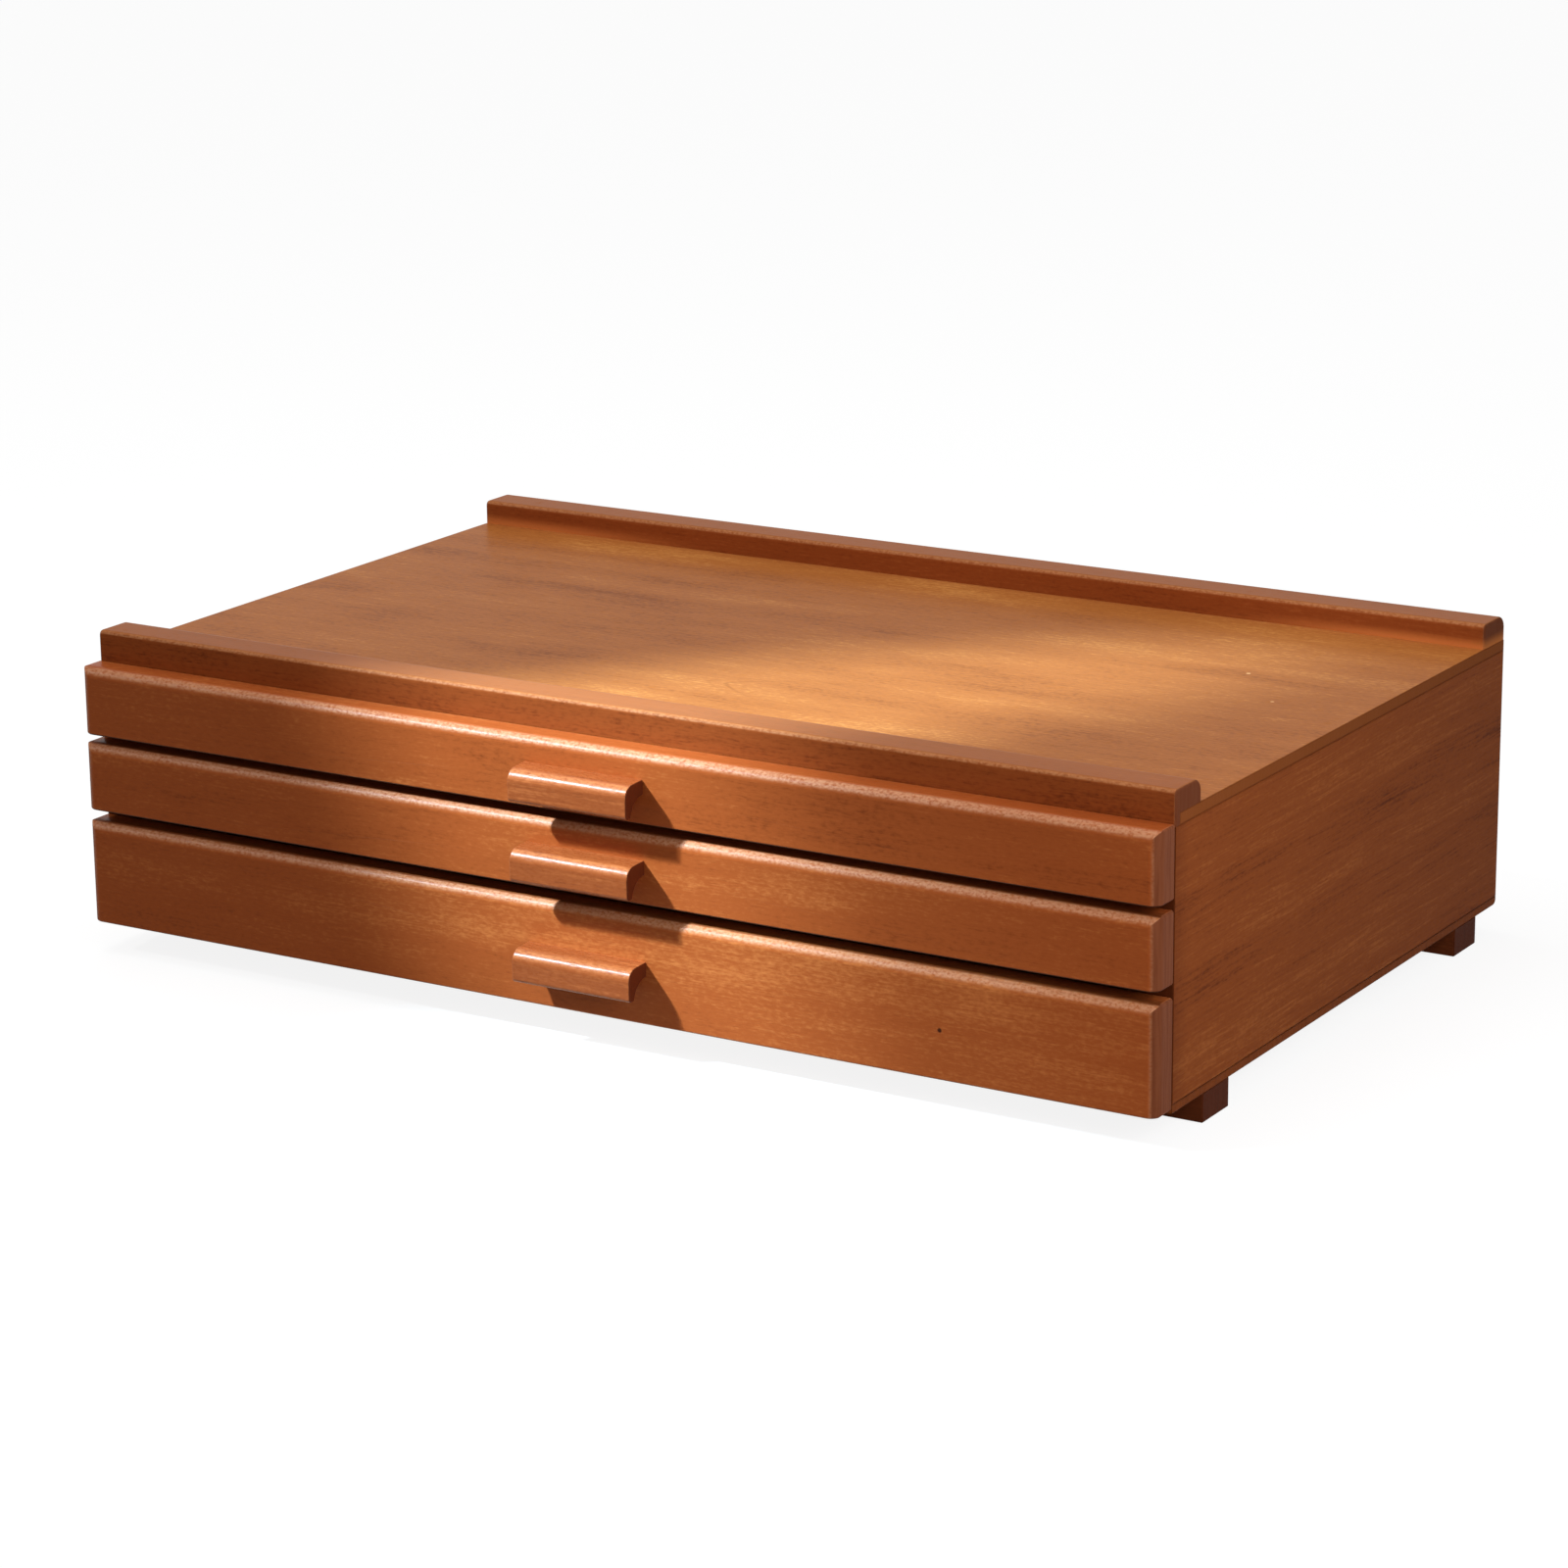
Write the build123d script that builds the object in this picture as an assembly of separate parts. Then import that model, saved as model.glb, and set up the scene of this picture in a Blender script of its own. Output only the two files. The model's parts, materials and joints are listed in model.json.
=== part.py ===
from build123d import *
import os

# Wooden box with three drawers, one above the other. Millimetres, +X right, +Y back, +Z up.
# The origin is on the ground, below the middle of the whole box, pulls included.

# Carcase
WIDTH = 430.0  # outer width, which the drawer fronts and the rails share
CARCASE_DEPTH = 260.0  # sides, top and bottom, front to back
SIDE_THICKNESS = 10.0
TOP_THICKNESS = 4.0
BOTTOM_THICKNESS = 3.0
BOTTOM_REAR_ROUND = 2.2  # lower rear edge of the bottom panel
BACK_THICKNESS = 4.0
BACK_LAP = 5.0  # how far the back panel reaches into the rebate of each side
EASED_EDGE = 0.5  # sanded edges all over the box
GLUE_GAP = 0.1  # play of one wooden piece let into another

# Rails on the top panel
RAIL_DEPTH = 18.0
FRONT_RAIL_HEIGHT = 8.0
BACK_RAIL_HEIGHT = 9.0
RAIL_REAR_ROUND = 4.5
RAIL_FRONT_ROUND = 1.8
RAIL_END_ROUND = 1.0
RAIL_LIP = 3.0  # of the front rail, down over the front edge of the top panel

# Feet
FOOT_WIDTH = 20.0
FOOT_DEPTH = 19.0
FOOT_HEIGHT = 10.0
FRONT_FOOT_SETBACK = 22.0  # behind the front edge of the carcase
REAR_FOOT_SETBACK = 18.0  # before the rear edge of the carcase

# Drawer fronts, from the lowest to the highest
FRONT_HEIGHTS = {"bottom": 37.8, "middle": 24.8, "top": 24.8}
FRONT_GAPS = {"bottom": 4.2, "middle": 3.2}  # from this front up to the next
FRONT_THICKNESS = 11.0
FRONT_LIFT = 1.2  # from the underside of the carcase up to the lowest front
FRONT_LAP = 1.0  # of the highest front over the lip of the front rail
FRONT_SEAT_GAP = 0.3  # between a front and the edges of the carcase
FRONT_ROUND = 3.9  # along the upper edge and the two ends of the face
FRONT_LOWER_ROUND = 0.8  # along the lower edge of the face
FRONT_CORNER_ROUND = 1.0  # at the four corners of the outline

# Drawer boxes
DRAWER_SIDE_THICKNESS = 8.0
DRAWER_BACK_THICKNESS = 8.0
DRAWER_BOTTOM_THICKNESS = 3.0
DRAWER_SIDE_GAP = 1.0  # between a drawer box and each side of the carcase
DRAWER_REAR_GAP = 6.0  # between a drawer box and the back panel
DRAWER_FLOOR_GAP = 1.0  # between the lowest drawer box and the bottom panel
DRAWER_TOP_STEP = 2.0  # from the top of a front down to the top of its box
DRAWER_BACK_STEP = 2.0  # from the top of a drawer side down to the top of the drawer back
DRAWER_BOTTOM_LIFT = 2.0  # from the lower edge of a drawer side up to the drawer bottom
GROOVE_DEPTH = 3.0  # holds the drawer bottom
REBATE_DEPTH = 3.0  # in the drawer sides, holds the drawer back
HOUSING_DEPTH = 4.0  # in the drawer front, holds the drawer sides

# Runners
RUNNER_HEIGHT = 5.0
RUNNER_REACH = 5.0  # out of the side of the carcase
RUNNER_LIFT = 7.5  # from the lower edge of a drawer box up to the runner
RUNNER_GAP = 0.25  # above and below the runner in its groove
RUNNER_END_GAP = 0.5  # from the runner to the bottom of its groove
RUNNER_FRONT_SETBACK = 5.0  # behind the front edge of the carcase
RUNNER_REAR_SETBACK = 8.0  # before the back panel

# Pulls
PULL_LENGTH = 47.5
PULL_HEIGHT = 11.6
PULL_DEPTH = 10.5
PULL_DROP = 2.5  # of the middle of the pull below the middle of its front
PULL_ROOT = 5.2  # height of the glued face against the drawer front
PULL_LIP = 3.0  # thickness of the lower edge
PULL_TOP_FALL = 0.4  # of the upper face, from the drawer front to the front edge
PULL_UPPER_ROUND = 4.4  # along the upper front edge
PULL_LOWER_ROUND = 1.4  # along the lower front edge
PULL_SCREW_SPACING = 30.0
PULL_SCREW_DROP = 2.9  # below the upper edge of the pull
PULL_SCREW_BITE = 6.5  # how far the screw goes into the pull

# Screws
SCREW_RADIUS = 1.3
SCREW_HEAD_RADIUS = 2.6
SCREW_HEAD_HEIGHT = 1.4
SCREW_POINT = 2.0  # length of the tip
SCREW_SUNK = 0.2  # of the head, below the face of the wood
SCREW_CROSS_LENGTH = 2.8
SCREW_CROSS_WIDTH = 0.7
SCREW_CROSS_DEPTH = 0.8
FOOT_SCREW_BITE = 7.0
RAIL_SCREW_BITE = 6.0
RAIL_SCREW_COUNT = 3
RAIL_SCREW_END = 60.0  # from the end of the rail to the first screw

# Brads
BRAD_RADIUS = 0.6
BRAD_HEAD_RADIUS = 1.1
BRAD_HEAD_HEIGHT = 0.6
BRAD_POINT = 1.2
BRAD_SUNK = 0.2
BRAD_BITE = 6.0  # how far a brad goes into the piece that holds it
RUNNER_BRAD_COUNT = 3
RUNNER_BRAD_END = 25.0  # from the end of the runner to the first brad
BACK_BRAD_COUNT = 3
BACK_BRAD_END = 12.0  # from the edge of the back panel
BOTTOM_BRAD_COUNT = 4
BOTTOM_BRAD_END = 18.0  # from the feet
DRAWER_BRAD_EDGE = 3.4  # from the upper and the lower edge of the drawer back
DRAWER_BRAD_INSET = 2.4  # from the rear end of the drawer side

FASTENER_GAP = 0.05  # around a screw or brad in its hole
OVERCUT = 1.0  # by which a cut runs out of the wood

# Places worked out from the sizes above
half_width = WIDTH / 2
total_depth = PULL_DEPTH + FRONT_THICKNESS + FRONT_SEAT_GAP + CARCASE_DEPTH
carcase_rear = total_depth / 2
carcase_front = carcase_rear - CARCASE_DEPTH
front_rear = carcase_front - FRONT_SEAT_GAP
front_face = front_rear - FRONT_THICKNESS
back_face = carcase_rear - BACK_THICKNESS
side_inner = half_width - SIDE_THICKNESS
side_middle = half_width - SIDE_THICKNESS / 2
lap_middle = side_inner + BACK_LAP / 2

lowest_front = FOOT_HEIGHT + FRONT_LIFT
fronts_height = sum(FRONT_HEIGHTS.values()) + sum(FRONT_GAPS.values())
side_bottom = FOOT_HEIGHT + BOTTOM_THICKNESS
side_top = lowest_front + fronts_height - FRONT_LAP
top_surface = side_top + TOP_THICKNESS

back_rail_face = carcase_rear - RAIL_DEPTH
front_foot_face = carcase_front + FRONT_FOOT_SETBACK
rear_foot_face = carcase_rear - REAR_FOOT_SETBACK - FOOT_DEPTH

drawer_half_width = side_inner - DRAWER_SIDE_GAP
drawer_inner = drawer_half_width - DRAWER_SIDE_THICKNESS
drawer_rear = back_face - DRAWER_REAR_GAP
drawer_back_face = drawer_rear - DRAWER_BACK_THICKNESS
runner_inner = side_inner - RUNNER_REACH
runner_front = carcase_front + RUNNER_FRONT_SETBACK
runner_rear = back_face - RUNNER_REAR_SETBACK

SIGNS = {"left": -1, "right": 1}
ALONG = {
    "+X": Rot(0, -90, 0),
    "-X": Rot(0, 90, 0),
    "-Y": Rot(-90, 0, 0),
    "+Z": Rot(180, 0, 0),
}
nodes = {}


# Shapes used all over the box
def block(x, y, z):
    """A rectangular piece between the two limits given for each axis."""
    limits = [sorted(pair) for pair in (x, y, z)]
    middle = [(low + high) / 2 for low, high in limits]
    size = [high - low for low, high in limits]
    return Pos(*middle) * Box(*size)


def evenly(first, last, count):
    """Places from first to last at equal steps."""
    step = (last - first) / (count - 1)
    return [first + step * index for index in range(count)]


def turned(outline):
    """A solid of revolution about Z, from its half section as radius and height."""
    return revolve(Plane.XZ * make_face(Polyline(*outline, close=True)), Axis.Z)


def screw_outline(length, gap=0.0):
    """Half section of a countersunk screw along -Z, with the face of its head at height 0."""
    return [
        (0, 0),
        (SCREW_HEAD_RADIUS + gap, 0),
        (SCREW_RADIUS + gap, -SCREW_HEAD_HEIGHT),
        (SCREW_RADIUS + gap, SCREW_POINT - length),
        (0, -length - gap),
    ]


def brad_outline(length, gap=0.0):
    """Half section of a brad with a small flat head, placed as the screw is."""
    return [
        (0, 0),
        (BRAD_HEAD_RADIUS + gap, 0),
        (BRAD_HEAD_RADIUS + gap, -BRAD_HEAD_HEIGHT - gap),
        (BRAD_RADIUS + gap, -BRAD_HEAD_HEIGHT - gap),
        (BRAD_RADIUS + gap, BRAD_POINT - length),
        (0, -length - gap),
    ]


def screw(length):
    """A screw with a cross in its head."""
    arm = Pos(0, 0, -SCREW_CROSS_DEPTH / 2) * Box(
        SCREW_CROSS_LENGTH, SCREW_CROSS_WIDTH, SCREW_CROSS_DEPTH
    )
    return turned(screw_outline(length)) - [arm, Rot(0, 0, 90) * arm]


def hole(outline):
    """A hole of this half section, open above the head."""
    head_radius = outline[1][0]
    mouth = SCREW_SUNK + BRAD_SUNK + OVERCUT
    return turned([(0, mouth), (head_radius, mouth)] + outline[1:])


def driven(tool, direction, sunk, places):
    """Copies of a screw, a brad or its hole, sunk below the face at each place."""
    return [Pos(*place) * ALONG[direction] * Pos(0, 0, -sunk) * tool for place in places]


def screws(direction, through, bite, places):
    """Screws through one piece into the next, and their holes."""
    length = through - SCREW_SUNK + bite
    cutter = hole(screw_outline(length, FASTENER_GAP))
    return (
        driven(screw(length), direction, SCREW_SUNK, places),
        driven(cutter, direction, SCREW_SUNK, places),
    )


def brads(direction, through, places):
    """Brads through one piece into the next, and their holes."""
    length = through - BRAD_SUNK + BRAD_BITE
    cutter = hole(brad_outline(length, FASTENER_GAP))
    return (
        driven(turned(brad_outline(length)), direction, BRAD_SUNK, places),
        driven(cutter, direction, BRAD_SUNK, places),
    )


# Heights of each drawer
def drawer_levels():
    """Front, box, drawer bottom, runner and pull of each drawer, as low and high limits."""
    levels = {}
    low = lowest_front
    for name, height in FRONT_HEIGHTS.items():
        high = low + height
        box_low = low - FRONT_LIFT + BOTTOM_THICKNESS + DRAWER_FLOOR_GAP
        floor_low = box_low + DRAWER_BOTTOM_LIFT
        runner_low = box_low + RUNNER_LIFT
        pull_low = (low + high - PULL_HEIGHT) / 2 - PULL_DROP
        levels[name] = {
            "front": (low, high),
            "box": (box_low, high - DRAWER_TOP_STEP),
            "floor": (floor_low, floor_low + DRAWER_BOTTOM_THICKNESS),
            "runner": (runner_low, runner_low + RUNNER_HEIGHT),
            "pull": (pull_low, pull_low + PULL_HEIGHT),
        }
        low = high + FRONT_GAPS.get(name, 0.0)
    return levels


levels = drawer_levels()


def widened(limits, gap):
    """Both limits moved outward by a gap."""
    low, high = limits
    return low - gap, high + gap


# Fasteners of the carcase, and the holes they need
def runner_places(sign):
    """Where the brads enter the three runners of one side."""
    return [
        (sign * runner_inner, y, sum(levels[name]["runner"]) / 2)
        for name in levels
        for y in evenly(runner_front + RUNNER_BRAD_END, runner_rear - RUNNER_BRAD_END, RUNNER_BRAD_COUNT)
    ]


foot_fronts = (front_foot_face, rear_foot_face)
foot_places = [
    (sign * side_middle, face + FOOT_DEPTH / 2, 0) for sign in SIGNS.values() for face in foot_fronts
]
rail_places = [
    (x, face + RAIL_DEPTH / 2, side_top)
    for face in (carcase_front, back_rail_face)
    for x in evenly(RAIL_SCREW_END - half_width, half_width - RAIL_SCREW_END, RAIL_SCREW_COUNT)
]
back_places = [
    (sign * lap_middle, carcase_rear, z)
    for sign in SIGNS.values()
    for z in evenly(side_bottom + BACK_BRAD_END, side_top - BACK_BRAD_END, BACK_BRAD_COUNT)
]
bottom_places = [
    (sign * side_middle, y, FOOT_HEIGHT)
    for sign in SIGNS.values()
    for y in evenly(
        front_foot_face + FOOT_DEPTH + BOTTOM_BRAD_END,
        rear_foot_face - BOTTOM_BRAD_END,
        BOTTOM_BRAD_COUNT,
    )
]

foot_screws, foot_holes = screws("+Z", FOOT_HEIGHT + BOTTOM_THICKNESS, FOOT_SCREW_BITE, foot_places)
rail_screws, rail_holes = screws("+Z", TOP_THICKNESS, RAIL_SCREW_BITE, rail_places)
back_brads, back_holes = brads("-Y", BACK_THICKNESS, back_places)
bottom_brads, bottom_holes = brads("+Z", BOTTOM_THICKNESS, bottom_places)
left_brads, left_holes = brads("-X", RUNNER_REACH, runner_places(SIGNS["left"]))
right_brads, right_holes = brads("+X", RUNNER_REACH, runner_places(SIGNS["right"]))
runner_holes = {"left": left_holes, "right": right_holes}

nodes["foot_screws"] = foot_screws
nodes["rail_screws"] = rail_screws
nodes["back_panel_brads"] = back_brads
nodes["bottom_panel_brads"] = bottom_brads
nodes["runner_brads"] = left_brads + right_brads


# Carcase
def side_panel(side):
    """A side of the carcase, rebated at the rear for the back panel."""
    sign = SIGNS[side]
    panel = block(
        (sign * side_inner, sign * half_width), (carcase_front, carcase_rear), (side_bottom, side_top)
    )
    outer_face = panel.faces().sort_by(Axis.X)[-1 if sign > 0 else 0]
    panel = fillet(outer_face.edges(), EASED_EDGE)
    rebate = block(
        (sign * (side_inner - OVERCUT), sign * (side_inner + BACK_LAP)),
        (back_face, carcase_rear + OVERCUT),
        widened((side_bottom, side_top), OVERCUT),
    )
    return panel - [rebate] - runner_holes[side] - back_holes - bottom_holes - foot_holes


def top_panel():
    """The sheet that lies on the sides and carries the rails, with its front edge behind a lip."""
    behind_lip = carcase_front + RAIL_LIP + GLUE_GAP
    panel = block((-half_width, half_width), (behind_lip, carcase_rear), (side_top, top_surface))
    edges = panel.edges() - panel.faces().sort_by(Axis.Z)[0].edges()
    return fillet(edges, EASED_EDGE) - rail_holes


def bottom_panel():
    """The sheet under the sides, with its lower rear edge rounded."""
    panel = block((-half_width, half_width), (carcase_front, carcase_rear), (FOOT_HEIGHT, side_bottom))
    rear_edge = panel.edges().filter_by(Axis.X).group_by(Axis.Z)[0].sort_by(Axis.Y)[-1]
    panel = fillet(rear_edge, BOTTOM_REAR_ROUND)
    end_edges = panel.edges().filter_by(Axis.Y).group_by(Axis.Z)[0]
    return fillet(end_edges, EASED_EDGE) - bottom_holes - foot_holes


def back_panel():
    """The thin sheet that closes the rear, flush with the ends of the sides."""
    half = side_inner + BACK_LAP - GLUE_GAP
    height = widened((side_bottom, side_top), -GLUE_GAP)
    return block((-half, half), (back_face, carcase_rear), height) - back_holes


def rail(face, height):
    """A rail along the top panel, well rounded along its upper rear edge."""
    body = block(
        (-half_width, half_width), (face, face + RAIL_DEPTH), (top_surface, top_surface + height)
    )
    upper = body.edges().filter_by(Axis.X).group_by(Axis.Z)[-1].sort_by(Axis.Y)
    body = fillet(upper[-1], RAIL_REAR_ROUND)
    upper = body.edges().filter_by(Axis.X).group_by(Axis.Z)[-1].sort_by(Axis.Y)
    body = fillet(upper[0], RAIL_FRONT_ROUND)
    ends = body.faces().sort_by(Axis.X)
    end_edges = ends[0].edges() + ends[-1].edges() - body.faces().sort_by(Axis.Z)[0].edges()
    return fillet(end_edges, RAIL_END_ROUND) - rail_holes


def front_rail():
    """The front rail, with a lip that hides the front edge of the top panel."""
    lip = block(
        (-half_width, half_width), (carcase_front, carcase_front + RAIL_LIP), (side_top, top_surface)
    )
    front_ends = lip.edges().filter_by(Axis.Z).group_by(Axis.Y)[0]
    return rail(carcase_front, FRONT_RAIL_HEIGHT) + fillet(front_ends, RAIL_END_ROUND)


def foot(sign, face):
    """A block under the bottom panel, flush with the side of the box."""
    body = block(
        (sign * (half_width - FOOT_WIDTH), sign * half_width),
        (face, face + FOOT_DEPTH),
        (0, FOOT_HEIGHT),
    )
    edges = body.edges() - body.faces().sort_by(Axis.Z)[-1].edges()
    return fillet(edges, EASED_EDGE) - foot_holes


def runner(side, drawer):
    """The strip on one side of the carcase that a drawer slides on."""
    sign = SIGNS[side]
    strip = block(
        (sign * runner_inner, sign * side_inner), (runner_front, runner_rear), levels[drawer]["runner"]
    )
    inner_face = strip.faces().sort_by(Axis.X)[0 if sign > 0 else -1]
    return fillet(inner_face.edges(), EASED_EDGE) - runner_holes[side]


nodes["top_panel"] = top_panel()
nodes["bottom_panel"] = bottom_panel()
nodes["back_panel"] = back_panel()
nodes["front_rail"] = front_rail()
nodes["back_rail"] = rail(back_rail_face, BACK_RAIL_HEIGHT)
for side, sign in SIGNS.items():
    nodes[f"{side}_side_panel"] = side_panel(side)
    nodes[f"front_{side}_foot"] = foot(sign, front_foot_face)
    nodes[f"rear_{side}_foot"] = foot(sign, rear_foot_face)
    for drawer in levels:
        nodes[f"{drawer}_{side}_runner"] = runner(side, drawer)


# Drawers
def drawer_front(level, holes):
    """The front board, rounded over above and at the ends, with housings behind for the drawer box."""
    blank = block((-half_width, half_width), (front_face, front_rear), level["front"])
    lower_edge = blank.faces().sort_by(Axis.Y)[0].edges().group_by(Axis.Z)[0]
    other_edges = blank.faces().sort_by(Axis.Y)[0].edges() - lower_edge
    rounded_face = fillet(other_edges, FRONT_ROUND)
    underside = rounded_face.faces().sort_by(Axis.Z)[0].edges()
    line_and_end_arcs = underside - underside.filter_by(Axis.Y) - [underside.sort_by(Axis.Y)[-1]]
    rounded_face = fillet(line_and_end_arcs, FRONT_LOWER_ROUND)
    board = rounded_face & fillet(blank.edges().filter_by(Axis.Y), FRONT_CORNER_ROUND)
    board = fillet(board.faces().sort_by(Axis.Y)[-1].edges(), EASED_EDGE)
    behind = front_rear + OVERCUT
    housings = [
        block(
            (sign * (drawer_inner - GLUE_GAP), sign * (drawer_half_width + GLUE_GAP)),
            (front_rear - HOUSING_DEPTH, behind),
            widened(level["box"], GLUE_GAP),
        )
        for sign in SIGNS.values()
    ]
    half = drawer_inner + GROOVE_DEPTH
    groove = block((-half, half), (front_rear - GROOVE_DEPTH, behind), widened(level["floor"], GLUE_GAP))
    return board - housings - [groove] - holes


def drawer_side(sign, level, holes):
    """A side of a drawer: grooves for the runner and the drawer bottom, a rebate for the back."""
    ahead = front_rear - HOUSING_DEPTH
    board = block((sign * drawer_inner, sign * drawer_half_width), (ahead, drawer_rear), level["box"])
    upper = board.faces().sort_by(Axis.Z)[-1].edges().filter_by(Axis.Y)
    board = fillet(upper, EASED_EDGE)
    runner_groove = block(
        (sign * (runner_inner - RUNNER_END_GAP), sign * (drawer_half_width + OVERCUT)),
        (front_rear, drawer_rear + OVERCUT),
        widened(level["runner"], RUNNER_GAP),
    )
    inside = sign * (drawer_inner - OVERCUT)
    bottom_groove = block(
        (inside, sign * (drawer_inner + GROOVE_DEPTH)),
        (ahead - OVERCUT, drawer_back_face + GROOVE_DEPTH),
        widened(level["floor"], GLUE_GAP),
    )
    back_rebate = block(
        (inside, sign * (drawer_inner + REBATE_DEPTH)),
        (drawer_back_face, drawer_rear + OVERCUT),
        widened(level["box"], OVERCUT),
    )
    return board - [runner_groove, bottom_groove, back_rebate] - holes


def drawer_back(level, holes):
    """The back of a drawer, a little lower than its sides."""
    half = drawer_inner + REBATE_DEPTH - GLUE_GAP
    low, high = level["box"]
    board = block((-half, half), (drawer_back_face, drawer_rear), (low, high - DRAWER_BACK_STEP))
    upper = board.faces().sort_by(Axis.Z)[-1].edges().filter_by(Axis.X)
    board = fillet(upper, EASED_EDGE)
    groove = block(
        widened((-half, half), OVERCUT),
        (drawer_back_face - OVERCUT, drawer_back_face + GROOVE_DEPTH),
        widened(level["floor"], GLUE_GAP),
    )
    return board - [groove] - holes


def drawer_bottom(level):
    """The thin sheet held in the grooves of the front, sides and back."""
    half = drawer_inner + GROOVE_DEPTH - GLUE_GAP
    ahead = front_rear - GROOVE_DEPTH + GLUE_GAP
    return block((-half, half), (ahead, drawer_back_face + GROOVE_DEPTH - GLUE_GAP), level["floor"])


def pull(level, holes):
    """A wooden pull, hollowed from below for the fingers."""
    low, high = level["pull"]
    section = Plane(origin=(0, front_face, high), x_dir=(0, -1, 0), z_dir=(-1, 0, 0))
    root = (0, -PULL_ROOT)
    lip = (PULL_DEPTH - PULL_LIP, -PULL_HEIGHT)
    straight = Polyline(
        root, (0, 0), (PULL_DEPTH, -PULL_TOP_FALL), (PULL_DEPTH, -PULL_HEIGHT), lip
    )
    hollow = TangentArc(root, lip, tangent=(1, 0))
    body = extrude(section * make_face(straight + hollow), PULL_LENGTH / 2, both=True)
    upper_front = body.edges().filter_by(Axis.X).group_by(Axis.Y)[0].sort_by(Axis.Z)[-1]
    body = fillet(upper_front, PULL_UPPER_ROUND)
    lower = body.edges().filter_by(Axis.X).group_by(Axis.Z)[0].sort_by(Axis.Y)
    body = fillet(lower[0], PULL_LOWER_ROUND)
    lower = body.edges().filter_by(Axis.X).group_by(Axis.Z)[0].sort_by(Axis.Y)
    body = fillet(lower[-1], EASED_EDGE)
    glued_face = body.faces().sort_by(Axis.Y)[-1]
    ends = body.faces().sort_by(Axis.X)
    end_edges = ends[0].edges() + ends[-1].edges() - glued_face.edges()
    return fillet(end_edges, EASED_EDGE) - holes


def back_corner_places(sign, level):
    """Where the brads enter one side of a drawer, at the top and the bottom of its back."""
    low, high = level["box"]
    y = drawer_rear - DRAWER_BRAD_INSET
    heights = (low + DRAWER_BRAD_EDGE, high - DRAWER_BACK_STEP - DRAWER_BRAD_EDGE)
    return [(sign * drawer_half_width, y, z) for z in heights]


def add_drawer(name, level):
    """All the pieces of one drawer."""
    screw_height = level["pull"][1] - PULL_SCREW_DROP
    pull_places = [(sign * PULL_SCREW_SPACING / 2, front_rear, screw_height) for sign in SIGNS.values()]
    pull_screws, pull_holes = screws("-Y", FRONT_THICKNESS, PULL_SCREW_BITE, pull_places)
    web = DRAWER_SIDE_THICKNESS - REBATE_DEPTH
    left, left_holes = brads("+X", web, back_corner_places(SIGNS["left"], level))
    right, right_holes = brads("-X", web, back_corner_places(SIGNS["right"], level))

    nodes[f"{name}_drawer_front"] = drawer_front(level, pull_holes)
    nodes[f"{name}_drawer_left_side"] = drawer_side(SIGNS["left"], level, left_holes)
    nodes[f"{name}_drawer_right_side"] = drawer_side(SIGNS["right"], level, right_holes)
    nodes[f"{name}_drawer_back"] = drawer_back(level, left_holes + right_holes)
    nodes[f"{name}_drawer_bottom"] = drawer_bottom(level)
    nodes[f"{name}_drawer_pull"] = pull(level, pull_holes)
    nodes[f"{name}_drawer_pull_screws"] = pull_screws
    nodes[f"{name}_drawer_brads"] = left + right


for name, level in levels.items():
    add_drawer(name, level)

# One file for each named piece
os.makedirs("parts", exist_ok=True)
for name, piece in nodes.items():
    solids = Compound(piece) if isinstance(piece, list) else piece
    export_step(solids, f"parts/{name}.step")
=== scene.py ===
import json
import math
from itertools import combinations

import bpy
from mathutils import Matrix, Vector


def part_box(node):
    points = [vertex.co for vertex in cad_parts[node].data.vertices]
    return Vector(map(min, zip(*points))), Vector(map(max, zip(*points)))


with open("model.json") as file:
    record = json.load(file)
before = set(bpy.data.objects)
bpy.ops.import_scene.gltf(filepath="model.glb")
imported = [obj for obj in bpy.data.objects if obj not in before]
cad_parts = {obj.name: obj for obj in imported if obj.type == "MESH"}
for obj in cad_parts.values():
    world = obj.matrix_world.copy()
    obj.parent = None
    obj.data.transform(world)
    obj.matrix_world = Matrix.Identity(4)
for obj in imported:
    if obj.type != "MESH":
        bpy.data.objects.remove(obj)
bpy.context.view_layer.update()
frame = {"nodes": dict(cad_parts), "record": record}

X, Y, Z = range(3)  # axes of a place, a size or a normal

# Camera, in metres, for a square picture
CAMERA_PLACE = Vector((0.8458, -1.3828, 0.5162))
CAMERA_TARGET = Vector((-0.0012, 0.0, 0.06))
CAMERA_ROLL = math.radians(-0.599)
CAMERA_LENS = 107.8  # millimetres
CAMERA_SENSOR = 36.0  # millimetres

# Light, in metres and watts: a key from the upper left of the front, a narrow beam beside it on the
# middle of the fronts and its weaker spill to the right, a wide soft lamp overhead, a weak fill from
# the right, and the room
KEY_FROM = Vector((-0.593, -0.442, 0.673))
KEY_STRENGTH = 0.6  # watts per square metre
KEY_ANGLE = math.radians(5)
BEAM_TARGET = Vector((-0.012, -0.125, 0.101))
BEAM_DISTANCE = 1.6
BEAM_POWER = 212.0
BEAM_COLOUR = (0.8, 1.1, 1.36)  # daylight, cooler than the room
BEAM_WIDTH = math.radians(5.0)
BEAM_BLEND = 0.46  # share of it that fades out
BEAM_TALLNESS = 2.8  # times its width
BEAM_ROLL = math.radians(22)
BEAM_SIZE = 0.03  # radius of its lamp
SPILL_TARGET = Vector((0.08, -0.13, 0.03))
SPILL_POWER = 66.0
SPILL_WIDTH = math.radians(8)
SPILL_BLEND = 1.0
OVERHEAD_PLACE = Vector((-0.3, -0.02, 1.25))
OVERHEAD_TARGET = Vector((0.0, 0.0, 0.1))
OVERHEAD_POWER = 4.9
OVERHEAD_SIZE = 0.9
FILL_PLACE = Vector((0.55, -0.31, 0.28))
FILL_TARGET = Vector((0.2, 0.0, 0.06))
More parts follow.
